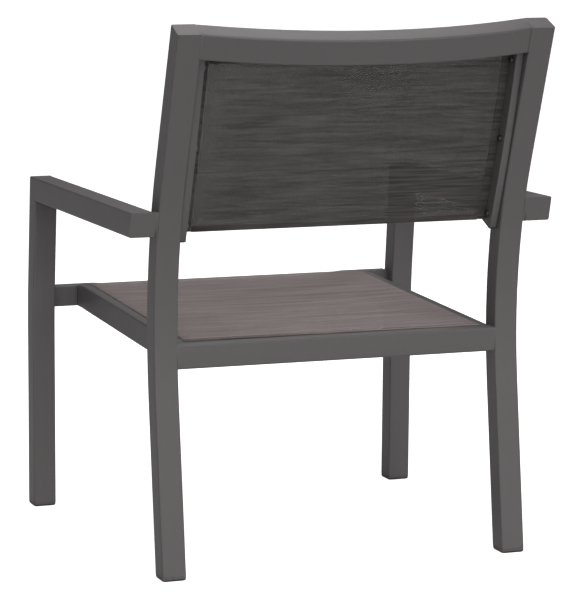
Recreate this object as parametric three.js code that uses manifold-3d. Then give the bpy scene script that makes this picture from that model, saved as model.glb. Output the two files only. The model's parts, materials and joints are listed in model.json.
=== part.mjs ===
// Sling patio chair: a welded armchair of square tube, with one woven sling for the seat and one for the
// back. Each sling is held along both sides by a rod that sits in the groove of an extruded rail.
// Millimetres, +Z up. The sitter faces -Y, so the sitter's left side is at +X.
import * as THREE from 'three';
import { mergeVertices } from 'three/addons/utils/BufferGeometryUtils.js';
import Module from 'manifold-3d';

const wasm = await Module();
wasm.setup();

// Driving dimensions. Y values are forward distances from the rear face of the back posts at the floor.

// Left between pieces that touch, seat on or are welded to each other
const gap = 0.3;

// Width over the arms
const chair = { width: 679 };

// Square tube of the posts, legs and arms
const tube = { side: 38, wall: 1.5, corner: 3 };

// Back posts: their rear face runs forward from the foot to a bend, then leans back to the top
const post = {
  height: 824,
  bendHeight: 450,
  bendForward: 50.5,
  topBack: 96.2,
  bendRadius: 714,
};

// Front legs: their rear face, forward of the back posts' feet, at the floor, bend and arm
const leg = {
  footForward: 590,
  bendForward: 579.7,
  topForward: 552.4,
  bendHeight: 345,
  bendRadius: 1020,
};

// Arms: top face height, and the packer welded between arm and post
const arm = { height: 558.7, packerWidth: 5, packerDepth: 18, packerDrop: 1.5 };

// Plates welded over the open tube ends
const capThickness = 1.5;

// Bowed rail between the tops of the posts
const topRail = { height: 41, bow: 31.9 };

// Plastic glides: sole with a rounded edge under the tube, and the hollow plug that holds it in the tube
const glide = { sole: 7, edge: 3, inset: 0.2, plugHeight: 16, plugWall: 2.2 };

// Seat rails: extrusions with the groove along the middle of the top
const sideRail = {
  width: 36,
  height: 39,
  wall: 1.8,
  corner: 3,
  rearHeight: 353.7,
  bendHeight: 374.2,
  bendLength: 46,
  bendRadius: 250,
};

// Rear cross tube: it runs from post to post behind the seat rails
const rearRail = { depth: 25, height: 38 };

// Front cross tube: it passes in front of the seat rails and is cranked down between them
const frontRail = {
  depth: 38,
  height: 35,
  setForward: 23.5,
  crankStart: 6,
  crankRun: 121,
  drop: 24,
  bendRadius: 100,
};

// Back sling rails: extrusions screwed to the inner faces of the posts, set back from their rear faces
const backRail = {
  thickness: 12,
  depth: 36,
  wall: 1.6,
  corner: 1.5,
  belowTop: 318,
  recess: 13,
  bow: 3.5,
  grooveFromRear: 22,
  topClearance: 1,
  plugThickness: 2,
  plugTongue: 11,
};

// Slings: cloth, its turned hems, and the rod in the pocket along each side
const cloth = { thickness: 0.8, hem: 9, rodRadius: 2, rodClearance: 0.3 };
const seatSling = { rearInset: 1, rearLap: 4, frontInset: 2, sag: 3 };
const backSling = { bottomInset: 4, topInset: 9, seamWidth: 14 };

// Groove that holds the pocket: the slot's clearance on each side, the lips, and the wall round the bore
const groove = { clearance: 0.4, slotClearance: 0.6, lip: 1.8, wall: 1.6 };

// Screws that hold the back sling rails
const screw = {
  radius: 2.5,
  headRadius: 5,
  headHeight: 3.6,
  socketRadius: 1.6,
  socketDepth: 1.8,
  fromRear: 13.5,
  fromEnd: 20,
  reach: 8,
  holeClearance: 0.4,
};

// Places along the seat where the sagging cloth gets a row of points, as shares of its length
const sagRowShares = [0.25, 0.5, 0.75];

// Counts of the steps that curves are drawn with
const steps = {
  corner: 3,
  bore: 10,
  pocket: 8,
  bend: 10,
  legBend: 5,
  railBend: 5,
  bow: 12,
  crank: 4,
  round: 12,
  edge: 2,
};
const clothColumns = 4;

// Places shared by several pieces
const armInner = chair.width / 2 - tube.side;
const postOuter = armInner - arm.packerWidth;
const postInner = postOuter - tube.side;
const postMiddle = postInner + tube.side / 2;
const armMiddle = armInner + tube.side / 2;
const sideRailMiddle = postInner - gap - sideRail.width / 2;
const sideRailInner = sideRailMiddle - sideRail.width / 2;
const backRailOuter = postInner - gap;
const backRailInner = backRailOuter - backRail.thickness;
const pocketInnerRadius = cloth.rodRadius + cloth.rodClearance;
const pocketRadius = pocketInnerRadius + cloth.thickness;
const boreRadius = pocketRadius + groove.clearance;
const slotHalf = cloth.thickness + groove.slotClearance;
const boreDepth = groove.lip + boreRadius;

const acrossX = new THREE.Vector3(1, 0, 0);
const alongY = new THREE.Vector3(0, 1, 0);
const upZ = new THREE.Vector3(0, 0, 1);

// Materials
const coated = new THREE.MeshStandardMaterial({ color: '#55524f', roughness: 0.55, metalness: 0.1 });
const coatedRail = new THREE.MeshStandardMaterial({ color: '#5b5856', roughness: 0.5, metalness: 0.1 });
const sling = new THREE.MeshStandardMaterial({ color: '#5c5755', roughness: 0.85, metalness: 0 });
const nylon = new THREE.MeshStandardMaterial({ color: '#c9c6bf', roughness: 0.5, metalness: 0 });
const blackPlastic = new THREE.MeshStandardMaterial({ color: '#1e1e1e', roughness: 0.6, metalness: 0 });
const greyPlastic = new THREE.MeshStandardMaterial({ color: '#4b4947', roughness: 0.6, metalness: 0 });
const steel = new THREE.MeshStandardMaterial({ color: '#6f6e6c', roughness: 0.35, metalness: 0.9 });

// Flat loops and sections

function arcPoints(centreX, centreY, radius, from, to, count) {
  const points = [];
  for (let i = 0; i <= count; i += 1) {
    const turn = from + ((to - from) * i) / count;
    points.push(new THREE.Vector2(centreX + radius * Math.cos(turn), centreY + radius * Math.sin(turn)));
  }
  return points;
}

function roundedLoop(x0, x1, y0, y1, radius) {
  const quarter = Math.PI / 2;
  return [
    ...arcPoints(x1 - radius, y1 - radius, radius, 0, quarter, steps.corner),
    ...arcPoints(x0 + radius, y1 - radius, radius, quarter, 2 * quarter, steps.corner),
    ...arcPoints(x0 + radius, y0 + radius, radius, 2 * quarter, 3 * quarter, steps.corner),
    ...arcPoints(x1 - radius, y0 + radius, radius, 3 * quarter, 4 * quarter, steps.corner),
  ];
}

function circleLoop(centreX, centreY, radius, count) {
  return arcPoints(centreX, centreY, radius, 0, 2 * Math.PI, count).slice(0, count);
}

function solidSection(width, depth, corner) {
  return { outer: roundedLoop(-width / 2, width / 2, 0, depth, corner), holes: [] };
}

// A tube centred across, whose reference face is at depth zero
function tubeSection(width, depth) {
  const inner = Math.max(tube.corner - tube.wall, tube.wall / 2);
  const half = width / 2 - tube.wall;
  return {
    outer: roundedLoop(-width / 2, width / 2, 0, depth, tube.corner),
    holes: [roundedLoop(-half, half, tube.wall, depth - tube.wall, inner)],
  };
}

// The groove's outline from one edge of its mouth to the other: x across the slot, y into the rail
function keyhole() {
  const mouth = Math.asin(slotHalf / boreRadius);
  const points = [new THREE.Vector2(-slotHalf, 0)];
  for (let i = 0; i <= steps.bore; i += 1) {
    const turn = -mouth - ((2 * Math.PI - 2 * mouth) * i) / steps.bore;
    points.push(new THREE.Vector2(boreRadius * Math.sin(turn), boreDepth - boreRadius * Math.cos(turn)));
  }
  points.push(new THREE.Vector2(slotHalf, 0));
  return points;
}

// Seat rail: across and down from the top face, hollow round the wall of the bore
function sideRailSection() {
  const half = sideRail.width / 2;
  const outline = roundedLoop(-half, half, 0, sideRail.height, sideRail.corner);
  const right = outline.filter((point) => point.x > 0);
  const left = outline.filter((point) => point.x < 0);
  const top = right.filter((point) => point.y < sideRail.height / 2);
  const bottom = right.filter((point) => point.y > sideRail.height / 2);
  const outer = [...keyhole(), ...top, ...bottom, ...left];
  const wall = sideRail.wall;
  const shell = boreRadius + groove.wall;
  const meet = Math.acos((boreDepth - wall) / shell);
  const chamber = [new THREE.Vector2(-half + wall, wall)];
  for (let i = 0; i <= steps.bore / 2; i += 1) {
    const turn = -meet - ((2 * Math.PI - 2 * meet) * i) / (steps.bore / 2);
    chamber.push(new THREE.Vector2(shell * Math.sin(turn), boreDepth - shell * Math.cos(turn)));
  }
  chamber.push(new THREE.Vector2(half - wall, wall));
  chamber.push(new THREE.Vector2(half - wall, sideRail.height - wall));
  chamber.push(new THREE.Vector2(-half + wall, sideRail.height - wall));
  return { outer, holes: [chamber] };
}

// Back sling rail: x from the post inwards, y forward from the rear face, groove in the inner face
function backRailSection() {
  const { thickness, depth, wall, corner, grooveFromRear } = backRail;
  const outline = roundedLoop(0, thickness, 0, depth, corner);
  const inner = outline.filter((point) => point.x > thickness / 2);
  const front = inner.filter((point) => point.y > grooveFromRear);
  const rear = inner.filter((point) => point.y < grooveFromRear);
  const outer = outline.filter((point) => point.x < thickness / 2);
  const slot = keyhole().map((point) => new THREE.Vector2(thickness - point.y, grooveFromRear + point.x));
  const behind = grooveFromRear - boreRadius - wall;
  const ahead = grooveFromRear + boreRadius + wall;
  return {
    outer: [...rear, ...slot, ...front, ...outer],
    holes: [
      roundedLoop(wall, thickness - wall, wall, behind, corner / 2),
      roundedLoop(wall, thickness - wall, ahead, depth - wall, corner / 2),
    ],
  };
}

// Solids

function turned(loop, clockwise) {
  return THREE.ShapeUtils.isClockWise(loop) === clockwise ? loop : [...loop].reverse();
}

function signedVolume(positions, index) {
  const [a, b, c] = [new THREE.Vector3(), new THREE.Vector3(), new THREE.Vector3()];
  let volume = 0;
  for (let i = 0; i < index.length; i += 3) {
    a.fromArray(positions, index[i] * 3);
    b.fromArray(positions, index[i + 1] * 3);
    c.fromArray(positions, index[i + 2] * 3);
    volume += a.dot(b.cross(c));
  }
  return volume;
}

function closedGeometry(positions, index) {
  if (signedVolume(positions, index) < 0) {
    for (let i = 0; i < index.length; i += 3) {
      [index[i], index[i + 1]] = [index[i + 1], index[i]];
    }
  }
  const geometry = new THREE.BufferGeometry();
  geometry.setAttribute('position', new THREE.Float32BufferAttribute(positions, 3));
  geometry.setIndex(index);
  geometry.computeVertexNormals();
  return geometry;
}

// Moves a point along a direction until it lies on a plane
function slideOnto(point, direction, plane) {
  const distance = plane.point.clone().sub(point).dot(plane.normal) / direction.dot(plane.normal);
  return point.clone().addScaledVector(direction, distance);
}

function capTriangles(loops) {
  const points = loops.flat();
  return THREE.ShapeUtils.triangulateShape(loops[0], loops.slice(1)).map(([a, b, c]) => {
    const area = points[b].clone().sub(points[a]).cross(points[c].clone().sub(points[a]));
    return area > 0 ? [a, b, c] : [a, c, b];
  });
}

// Carries a section along stations { origin, a, b }, and lays its ends onto planes where they are given
function sweep(sectionAt, stations, planes = {}) {
  const layers = stations.map((station, i) => {
    const section = typeof sectionAt === 'function' ? sectionAt(i) : sectionAt;
    return [turned(section.outer, false), ...section.holes.map((hole) => turned(hole, true))];
  });
  const rings = stations.map((station, i) => layers[i].flat().map((point) =>
    station.origin.clone().addScaledVector(station.a, point.x).addScaledVector(station.b, point.y)));
  const last = stations.length - 1;
  if (planes.start) {
    const run = stations[1].origin.clone().sub(stations[0].origin).normalize();
    rings[0] = rings[0].map((point) => slideOnto(point, run, planes.start));
  }
  if (planes.end) {
    const run = stations[last].origin.clone().sub(stations[last - 1].origin).normalize();
    rings[last] = rings[last].map((point) => slideOnto(point, run, planes.end));
  }
  const count = rings[0].length;
  const index = [];
  let first = 0;
  for (const loop of layers[0]) {
    for (let ring = 0; ring < last; ring += 1) {
      for (let j = 0; j < loop.length; j += 1) {
        const here = ring * count + first + j;
        const next = ring * count + first + ((j + 1) % loop.length);
        index.push(here, next, next + count, here, next + count, here + count);
      }
    }
    first += loop.length;
  }
  for (const [a, b, c] of capTriangles(layers[0])) {
    index.push(a, c, b);
  }
  for (const [a, b, c] of capTriangles(layers[last])) {
    index.push(last * count + a, last * count + b, last * count + c);
  }
  return closedGeometry(rings.flat().flatMap((point) => point.toArray()), index);
}

function toManifold(geometry) {
  const bare = geometry.clone();
  bare.deleteAttribute('normal');
  bare.deleteAttribute('uv');
  const merged = mergeVertices(bare);
  const vertProperties = new Float32Array(merged.attributes.position.array);
  const triVerts = new Uint32Array(merged.index.array);
  return new wasm.Manifold(new wasm.Mesh({ numProp: 3, vertProperties, triVerts }));
}

function fromManifold(body) {
  const mesh = body.getMesh();
  const geometry = new THREE.BufferGeometry();
  geometry.setAttribute('position', new THREE.Float32BufferAttribute(mesh.vertProperties, 3));
  geometry.setIndex([...mesh.triVerts]);
  geometry.computeVertexNormals();
  return geometry;
}

function join(first, second) {
  return fromManifold(toManifold(first).add(toManifold(second)));
}

function cutFrom(geometry, cutters) {
  const body = cutters.reduce((rest, cutter) => rest.subtract(toManifold(cutter)), toManifold(geometry));
  return fromManifold(body);
}

// Paths

// A line that leans one way up to a bend and the other way above it, with an arc between
function bentLine({ footY, bendY, topY, bendHeight, topHeight, bendRadius }) {
  const rake = Math.atan2(footY - bendY, bendHeight);
  const lean = Math.atan2(topY - bendY, topHeight - bendHeight);
  const tangent = bendRadius * Math.tan((rake + lean) / 2);
  const arcStart = bendHeight - tangent * Math.cos(rake);
  const arcEnd = bendHeight + tangent * Math.cos(lean);
  const centreY = bendY + tangent * Math.sin(rake) + bendRadius * Math.cos(rake);
  const centreZ = arcStart + bendRadius * Math.sin(rake);
  const at = (z) => {
    if (z <= arcStart) {
      return { y: footY + ((bendY - footY) * z) / bendHeight, z, tilt: -rake };
    }
    if (z >= arcEnd) {
      return { y: bendY + Math.tan(lean) * (z - bendHeight), z, tilt: lean };
    }
    const tilt = Math.asin((z - centreZ) / bendRadius);
    return { y: centreY - bendRadius * Math.cos(tilt), z, tilt };
  };
  const heights = (from, to, count) => {
    const list = [from];
    for (let i = 0; i <= count; i += 1) {
      const tilt = -rake + ((rake + lean) * i) / count;
      list.push(centreZ + bendRadius * Math.sin(tilt));
    }
    return [...list, to].filter((z) => z >= from && z <= to);
  };
  return { at, heights };
}

const forwardOf = (tilt) => new THREE.Vector3(0, -Math.cos(tilt), Math.sin(tilt));
const upwardOf = (tilt) => new THREE.Vector3(0, Math.sin(tilt), Math.cos(tilt));

function uprightStation(x, place) {
  return { origin: new THREE.Vector3(x, place.y, place.z), a: acrossX, b: forwardOf(place.tilt) };
}

const postLine = bentLine({
  footY: 0,
  bendY: -post.bendForward,
  topY: post.topBack,
  bendHeight: post.bendHeight,
  topHeight: post.height,
  bendRadius: post.bendRadius,
});

const legLine = bentLine({
  footY: -leg.footForward,
  bendY: -leg.bendForward,
  topY: -leg.topForward,
  bendHeight: leg.bendHeight,
  topHeight: arm.height,
  bendRadius: leg.bendRadius,
});

const level = (z) => ({ point: new THREE.Vector3(0, 0, z), normal: upZ });
const upright = (y) => ({ point: new THREE.Vector3(0, y, 0), normal: alongY });
const sideways = (x) => ({ point: new THREE.Vector3(x, 0, 0), normal: acrossX });

function shifted(plane, distance) {
  return { point: plane.point.clone().addScaledVector(plane.normal, distance), normal: plane.normal };
}

// The mitre between leg and arm runs from the front top corner to the corner under the arm
function mitrePlane() {
  const top = legLine.at(arm.height);
  const under = legLine.at(arm.height - tube.side);
  const outer = new THREE.Vector3(0, top.y - tube.side / Math.cos(top.tilt), top.z);
  const inner = new THREE.Vector3(0, under.y, under.z);
  const normal = outer.clone().sub(inner).cross(acrossX).normalize();
  return { point: inner, normal: normal.y > 0 ? normal : normal.negate() };
}

// The arm ends in the plane of the post's rear face
function armEndPlane() {
  const place = postLine.at(arm.height - tube.side / 2);
  return { point: new THREE.Vector3(0, place.y, place.z), normal: forwardOf(place.tilt).negate() };
}

const mitre = mitrePlane();
const armEnd = armEndPlane();
const postTop = postLine.at(post.height);
const seatRear = postLine.at(sideRail.rearHeight - sideRail.height / 2).y;
const frontRailRear = legLine.at(sideRail.bendHeight - frontRail.height / 2).y - frontRail.setForward;

// Top face of a seat rail, from its rear end forward, curved down at the front
function seatPath() {
  const { rearHeight, bendHeight, bendLength, bendRadius } = sideRail;
  const end = frontRailRear + gap;
  const straightRun = seatRear - end - bendLength;
  const rise = Math.atan2(bendHeight - rearHeight, straightRun);
  const straight = straightRun / Math.cos(rise);
  const fall = Math.asin(Math.sin(rise) - bendLength / bendRadius);
  const centreY = seatRear - straightRun - bendRadius * Math.sin(rise);
  const centreZ = bendHeight - bendRadius * Math.cos(rise);
  const length = straight + bendRadius * (rise - fall);
  const at = (distance) => {
    if (distance <= straight) {
      const y = seatRear - distance * Math.cos(rise);
      return { y, z: rearHeight + distance * Math.sin(rise), slope: rise };
    }
    const slope = rise - (distance - straight) / bendRadius;
    return { y: centreY + bendRadius * Math.sin(slope), z: centreZ + bendRadius * Math.cos(slope), slope };
  };
  return { at, length, straight };
}

const seatLine = seatPath();
const frontRailTop = seatLine.at(seatLine.length).z;

function seatStation(x, distance) {
  const place = seatLine.at(distance);
  const up = new THREE.Vector3(0, Math.sin(place.slope), Math.cos(place.slope));
  return { origin: new THREE.Vector3(x, place.y, place.z), a: acrossX, b: up };
}

// Distances along the seat line: both ends, the given stops and even steps round the front bend
function seatStops(from, to, extra = []) {
  const list = [from, to, ...extra];
  for (let i = 0; i < steps.railBend; i += 1) {
    list.push(seatLine.straight + ((seatLine.length - seatLine.straight) * i) / steps.railBend);
  }
  return list.filter((stop) => stop >= from && stop <= to).sort((a, b) => a - b);
}

// Rear face of a back sling rail: a shallow arc, bowed to the rear, inside the plane of the post
function backRailPath() {
  const { belowTop, recess, bow, topClearance } = backRail;
  const place = (z) => {
    const rear = postLine.at(z);
    const face = new THREE.Vector3(0, rear.y, rear.z);
    return face.addScaledVector(forwardOf(rear.tilt), recess);
  };
  const under = topRail.height + topClearance;
  const bottom = place(post.height - belowTop);
  const top = place(post.height - under * Math.cos(postTop.tilt));
  const chord = top.clone().sub(bottom);
  const tilt = Math.atan2(chord.y, chord.z);
  const half = chord.length() / 2;
  const radius = (half * half + bow * bow) / (2 * bow);
  const sweepHalf = Math.asin(half / radius);
  const centre = bottom.add(top).multiplyScalar(1 / 2).addScaledVector(forwardOf(tilt), radius - bow);
  const length = 2 * sweepHalf * radius;
  const at = (distance) => {
    const here = tilt + sweepHalf - distance / radius;
    const point = centre.clone().addScaledVector(forwardOf(here), -radius);
    return { y: point.y, z: point.z, tilt: here };
  };
  return { at, length, top };
}

const backLine = backRailPath();
const backRailTop = { point: backLine.top, normal: upwardOf(postTop.tilt) };

function backStops(from, to, extra = []) {
  const list = [from, to, ...extra];
  for (let i = 1; i < steps.bend; i += 1) {
    list.push(from + ((to - from) * i) / steps.bend);
  }
  return list.sort((a, b) => a - b);
}

// Pieces of the frame

function postTube(sign) {
  const x = sign * postMiddle;
  const end = post.height - (capThickness + gap) * Math.cos(postTop.tilt);
  const stations = postLine.heights(0, end, steps.bend).map((z) => uprightStation(x, postLine.at(z)));
  const body = sweep(tubeSection(tube.side, tube.side), stations, { start: level(glide.sole + gap) });
  return cutFrom(body, screwPlaces().map((place) => screwHole(sign, place, postOuter - tube.side / 2)));
}

function postCap(sign) {
  const origin = new THREE.Vector3(sign * postMiddle, postTop.y, postTop.z);
  const up = upwardOf(postTop.tilt);
  const bottom = origin.clone().addScaledVector(up, -capThickness);
  const stations = [bottom, origin].map((place) => ({
    origin: place,
    a: acrossX,
    b: forwardOf(postTop.tilt),
  }));
  return sweep(solidSection(tube.side, tube.side, tube.corner), stations);
}

function legTube(sign) {
  const x = sign * armMiddle;
  const heights = legLine.heights(0, arm.height, steps.legBend);
  const stations = heights.map((z) => uprightStation(x, legLine.at(z)));
  const planes = { start: level(glide.sole + gap), end: shifted(mitre, -gap / 2) };
  return sweep(tubeSection(tube.side, tube.side), stations, planes);
}

function armStations(sign) {
  const z = arm.height - tube.side;
  return [mitre.point.y, armEnd.point.y].map((y) => ({
    origin: new THREE.Vector3(sign * armMiddle, y, z),
    a: acrossX,
    b: upZ,
  }));
}

function armTube(sign) {
  const planes = { start: shifted(mitre, gap / 2), end: shifted(armEnd, -capThickness - gap) };
  return sweep(tubeSection(tube.side, tube.side), armStations(sign), planes);
}

function armCap(sign) {
  const planes = { start: shifted(armEnd, -capThickness), end: armEnd };
  return sweep(solidSection(tube.side, tube.side, tube.corner), armStations(sign), planes);
}

function armPacker(sign) {
  const heights = [arm.height - tube.side - arm.packerDrop, arm.height - tube.side / 2, arm.height];
  const middle = sign * (postOuter + arm.packerWidth / 2);
  const stations = heights.map((z) => uprightStation(middle, postLine.at(z)));
  const section = solidSection(arm.packerWidth - 2 * gap, arm.packerDepth, arm.packerWidth / 5);
  return sweep(section, stations);
}

// The top rail is rolled to an arc that bows to the rear, in the plane of the leaning posts
function bowedRail() {
  const half = postInner;
  const radius = (half * half + topRail.bow * topRail.bow) / (2 * topRail.bow);
  const reach = Math.asin(half / radius);
  const rearward = forwardOf(postTop.tilt).negate();
  const down = upwardOf(postTop.tilt).negate();
  const edge = new THREE.Vector3(0, postTop.y, postTop.z);
  const stations = [];
  for (let i = 0; i <= steps.bow; i += 1) {
    const turn = -reach + (2 * reach * i) / steps.bow;
    const bow = radius * Math.cos(turn) - radius + topRail.bow;
    const origin = edge.clone().addScaledVector(rearward, bow).setX(radius * Math.sin(turn));
    const forward = rearward.clone().multiplyScalar(-Math.cos(turn)).addScaledVector(acrossX, -Math.sin(turn));
    stations.push({ origin: origin.addScaledVector(down, topRail.height / 2), a: down, b: forward });
  }
  const planes = { start: sideways(-half + gap), end: sideways(half - gap) };
  return sweep(tubeSection(topRail.height, tube.side), stations, planes);
}

// The rear cross tube stands square to the seat rails, its top in the plane of theirs
function rearCrossTube() {
  const x = postInner - gap;
  const stations = [-x, x].map((side) => {
    const { origin, b: up } = seatStation(side, rearRail.depth / 2);
    return { origin, a: up.clone().cross(acrossX), b: up.clone().negate() };
  });
  return sweep(tubeSection(rearRail.depth, rearRail.height), stations);
}

// One half of the cranked tube's top line, from the middle out: flat, up through an S, flat to the leg
function crankedHalf() {
  const { crankRun, drop, bendRadius, crankStart } = frontRail;
  const reach = Math.hypot(crankRun, 2 * bendRadius - drop);
  const turn = Math.asin((2 * bendRadius) / reach) - Math.atan2(2 * bendRadius - drop, crankRun);
  const outer = sideRailInner + crankStart;
  const places = [];
  for (let i = 0; i <= steps.crank; i += 1) {
    const slope = (turn * i) / steps.crank;
    const x = outer - crankRun + bendRadius * Math.sin(slope);
    places.push({ x, z: -drop + bendRadius * (1 - Math.cos(slope)), slope });
  }
  for (let i = 0; i <= steps.crank; i += 1) {
    const slope = turn - (turn * i) / steps.crank;
    places.push({ x: outer - bendRadius * Math.sin(slope), z: -bendRadius * (1 - Math.cos(slope)), slope });
  }
  places.push({ x: armInner - gap, z: 0, slope: 0 });
  return places;
}

function crankedRail() {
  const half = crankedHalf();
  const mirrored = half.map(({ x, z, slope }) => ({ x: -x, z, slope: -slope })).reverse();
  const forward = alongY.clone().negate();
  const stations = [...mirrored, ...half].map(({ x, z, slope }) => {
    const down = new THREE.Vector3(Math.sin(slope), 0, -Math.cos(slope));
    const origin = new THREE.Vector3(x, frontRailRear, frontRailTop + z);
    return { origin: origin.addScaledVector(down, frontRail.height / 2), a: down, b: forward };
  });
  return sweep(tubeSection(frontRail.height, frontRail.depth), stations);
}

function seatRail(sign) {
  const section = sideRailSection();
  const downward = (loop) => loop.map((point) => new THREE.Vector2(point.x, -point.y));
  const flipped = { outer: downward(section.outer), holes: section.holes.map(downward) };
  const stops = seatStops(rearRail.depth + gap, seatLine.length);
  const stations = stops.map((stop) => seatStation(sign * sideRailMiddle, stop));
  return sweep(flipped, stations, { end: upright(frontRailRear + gap) });
}

// Back sling rails, their plugs and screws

function backStation(sign, distance) {
  const place = backLine.at(distance);
  const inward = acrossX.clone().multiplyScalar(-sign);
  const origin = new THREE.Vector3(sign * backRailOuter, place.y, place.z);
  return { origin, a: inward, b: forwardOf(place.tilt) };
}

function backRailTube(sign) {
  const start = backRail.plugThickness + gap;
  const stations = backStops(start, backLine.length).map((stop) => backStation(sign, stop));
  const body = sweep(backRailSection(), stations, { end: backRailTop });
  return cutFrom(body, screwPlaces().map((place) => screwHole(sign, place, postOuter)));
}

function backRailPlug(sign) {
  const { thickness, depth, wall, corner, plugThickness, plugTongue, grooveFromRear } = backRail;
  const sole = { outer: roundedLoop(0, thickness, 0, depth, corner), holes: [] };
  const inset = wall + gap;
  const behind = grooveFromRear - boreRadius - inset;
  const stem = { outer: roundedLoop(inset, thickness - inset, inset, behind, corner / 2), holes: [] };
  const plate = sweep(sole, [0, plugThickness].map((stop) => backStation(sign, stop)));
  const tongue = sweep(stem, [plugThickness / 2, plugTongue].map((stop) => backStation(sign, stop)));
  return join(plate, tongue);
}

// Screws near both ends of the rail and half way, at their set distance from its rear face
function screwPlaces() {
  const stops = [screw.fromEnd, backLine.length / 2, backLine.length - screw.fromEnd];
  return stops.map((stop) => {
    const place = backLine.at(stop);
    const face = new THREE.Vector3(0, place.y, place.z);
    return face.addScaledVector(forwardOf(place.tilt), screw.fromRear);
  });
}

function screwHole(sign, place, reach) {
  const from = backRailInner - screw.headHeight;
  const hole = new THREE.CylinderGeometry(
    screw.radius + screw.holeClearance,
    screw.radius + screw.holeClearance,
    reach - from,
    steps.round,
  );
  hole.rotateZ(Math.PI / 2);
  hole.translate((sign * (reach + from)) / 2, place.y, place.z);
  return hole;
}

// Pan head with a socket, revolved about the screw's axis, which points out towards the post
function railScrew(sign, place) {
  const { radius, headRadius, headHeight, socketRadius, socketDepth, reach } = screw;
  const length = backRail.thickness + gap + gap + reach;
  const rounding = headHeight / 2;
  const profile = [
    new THREE.Vector2(0, -headHeight + socketDepth),
    new THREE.Vector2(socketRadius, -headHeight + socketDepth),
    new THREE.Vector2(socketRadius, -headHeight),
    new THREE.Vector2(headRadius - rounding, -headHeight),
    new THREE.Vector2(headRadius, -headHeight + rounding),
    new THREE.Vector2(headRadius, 0),
    new THREE.Vector2(radius, 0),
    new THREE.Vector2(radius, length - radius),
    new THREE.Vector2(0, length),
  ];
  const body = new THREE.LatheGeometry(profile, steps.round);
  body.deleteAttribute('normal');
  body.deleteAttribute('uv');
  const merged = mergeVertices(body);
  merged.rotateZ((-sign * Math.PI) / 2);
  merged.translate(sign * (backRailInner - gap), place.y, place.z);
  return closedGeometry([...merged.attributes.position.array], [...merged.index.array]);
}

// Slings: the section runs out from the middle, round the rod's pocket and back

function mirroredOutline(half) {
  const inner = half.slice(1, -1);
  const other = inner.map((point) => new THREE.Vector2(-point.x, point.y)).reverse();
  return [...half, ...other];
}

function pocketArc(centreX, centreY, opening, half) {
  const start = Math.asin(half / pocketRadius);
  const points = [];
  for (let i = 0; i <= steps.pocket; i += 1) {
    const turn = opening + start + ((2 * Math.PI - 2 * start) * i) / steps.pocket;
    points.push(new THREE.Vector2(
      centreX + pocketRadius * Math.cos(turn),
      centreY + pocketRadius * Math.sin(turn),
    ));
  }
  return points;
}

// The seat cloth comes up out of the slot and turns inwards over the rail's lip
function seatSlingSection(thickness, sag) {
  const columns = [];
  for (let i = 0; i <= clothColumns; i += 1) {
    const share = i / clothColumns;
    columns.push({ x: sideRailInner * share, dip: sag * (1 - share * share) });
  }
  const neckOuter = sideRailMiddle + cloth.thickness;
  const neckInner = sideRailMiddle - cloth.thickness;
  const top = gap + thickness;
  const half = [
    ...columns.map(({ x, dip }) => new THREE.Vector2(x, top - dip)),
    new THREE.Vector2(neckInner, top),
    new THREE.Vector2(neckOuter, gap),
    ...pocketArc(sideRailMiddle, -boreDepth, Math.PI / 2, cloth.thickness).reverse(),
    new THREE.Vector2(neckInner, gap),
    ...columns.reverse().map(({ x, dip }) => new THREE.Vector2(x, gap - dip)),
  ];
  const outer = mirroredOutline(half);
  const holes = [-1, 1].map((sign) =>
    circleLoop(sign * sideRailMiddle, -boreDepth, pocketInnerRadius, steps.pocket));
  return { outer, holes };
}

// The seat sling's pockets begin just in front of the rear cross tube
function seatSlingEnds() {
  return [rearRail.depth + gap + seatSling.rearInset, seatLine.length - seatSling.frontInset];
}

// Between its pockets the seat cloth runs on over the rear cross tube
function seatClothLap(rearEdge, pocketStart) {
  const half = sideRailMiddle + cloth.thickness;
  const outer = [
    new THREE.Vector2(-half, gap),
    new THREE.Vector2(half, gap),
    new THREE.Vector2(half - 2 * cloth.thickness, gap + 2 * cloth.thickness),
    new THREE.Vector2(-half + 2 * cloth.thickness, gap + 2 * cloth.thickness),
  ];
  const stops = [rearEdge, pocketStart + cloth.thickness];
  return sweep({ outer, holes: [] }, stops.map((stop) => seatStation(0, stop)));
}

function seatCloth() {
  const [start, end] = seatSlingEnds();
  const rearEdge = rearRail.depth - seatSling.rearLap;
  const rearHem = rearEdge + cloth.hem;
  const frontHem = end - cloth.hem;
  const middle = sagRowShares.map((share) => start + (end - start) * share);
  const turns = [rearHem, rearHem + cloth.thickness, frontHem - cloth.thickness, frontHem];
  const stops = seatStops(start, end, [...turns, ...middle]);
  const section = (i) => {
    const fromHem = Math.min(stops[i] - rearHem, frontHem - stops[i]);
    const share = Math.max(0, fromHem / ((frontHem - rearHem) / 2));
    const sag = seatSling.sag * Math.sin((share * Math.PI) / 2);
    const isHem = fromHem <= cloth.thickness / 2;
    return seatSlingSection(isHem ? 2 * cloth.thickness : cloth.thickness, sag);
  };
  const body = sweep(section, stops.map((stop) => seatStation(0, stop)));
  return join(body, seatClothLap(rearEdge, start));
}

// The back cloth is flat across, from one rail's inner face to the other
function backSlingSection(thickness) {
  const bore = backRailInner + boreDepth;
  const seam = backRailInner - backSling.seamWidth;
  const half = [
    new THREE.Vector2(0, thickness / 2),
    new THREE.Vector2(seam, thickness / 2),
    new THREE.Vector2(seam + cloth.thickness, cloth.thickness),
    ...pocketArc(bore, 0, Math.PI, cloth.thickness).reverse(),
    new THREE.Vector2(seam + cloth.thickness, -cloth.thickness),
    new THREE.Vector2(seam, -thickness / 2),
    new THREE.Vector2(0, -thickness / 2),
  ];
  const holes = [-1, 1].map((sign) => circleLoop(sign * bore, 0, pocketInnerRadius, steps.pocket));
  return { outer: mirroredOutline(half), holes };
}

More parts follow.
